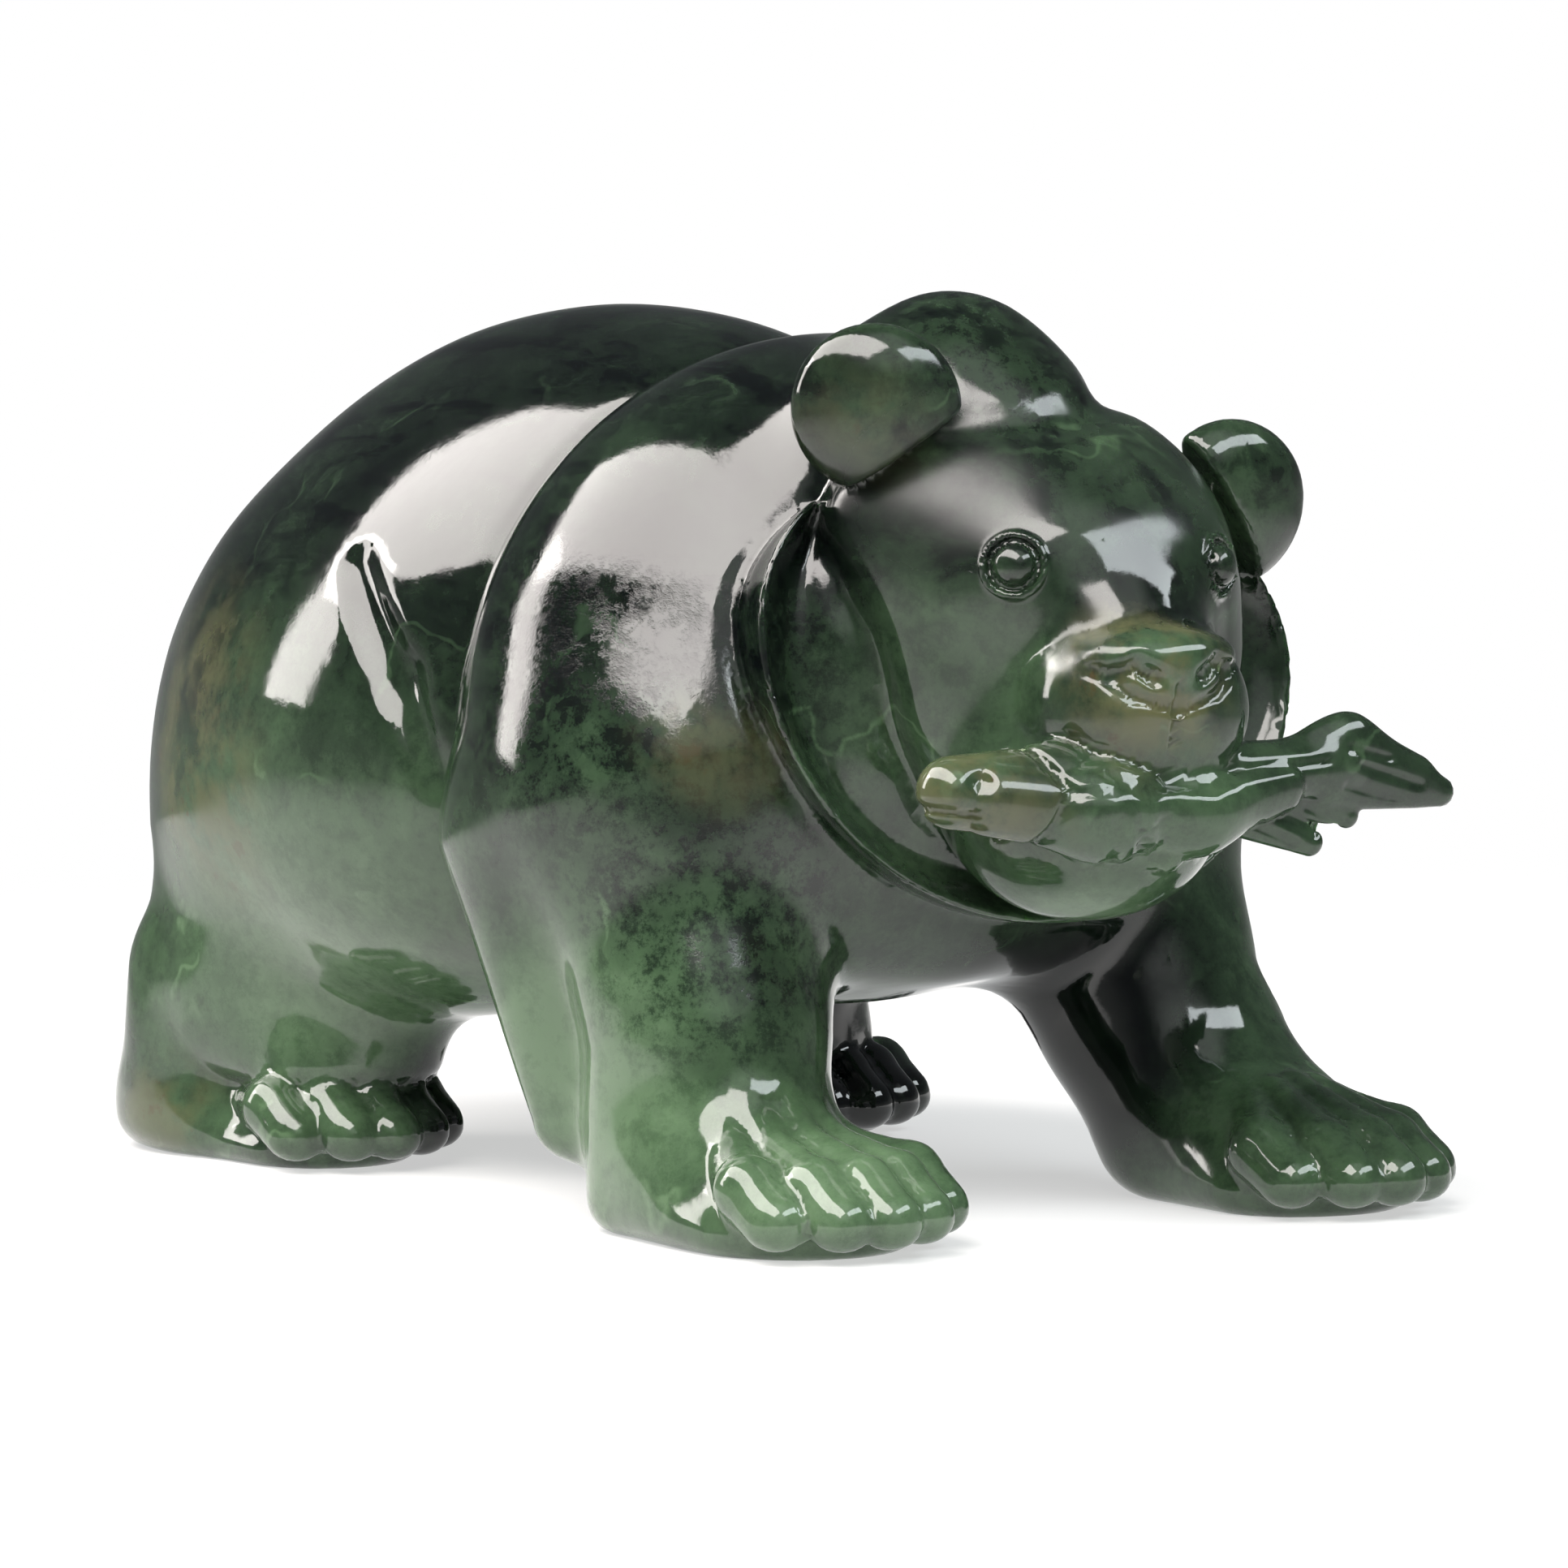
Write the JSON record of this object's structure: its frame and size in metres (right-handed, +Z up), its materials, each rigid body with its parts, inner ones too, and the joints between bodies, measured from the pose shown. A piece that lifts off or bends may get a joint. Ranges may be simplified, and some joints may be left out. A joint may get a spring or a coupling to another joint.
{
  "type": "jade bear figurine",
  "caption": "Polished jade carving of a bear standing on all fours with a salmon held across its jaws, cut as one stone.",
  "frame": {"origin": "on the ground under the middle of the object's box", "axes": "+X out through the bear's nose, +Y to the bear's own left, +Z up"},
  "size_m": [0.0977, 0.0512, 0.0539],
  "materials": {
    "jade": "polished"
  },
  "bodies": {
    "root": {"jade_bear": "jade"}
  },
  "joints": []
}
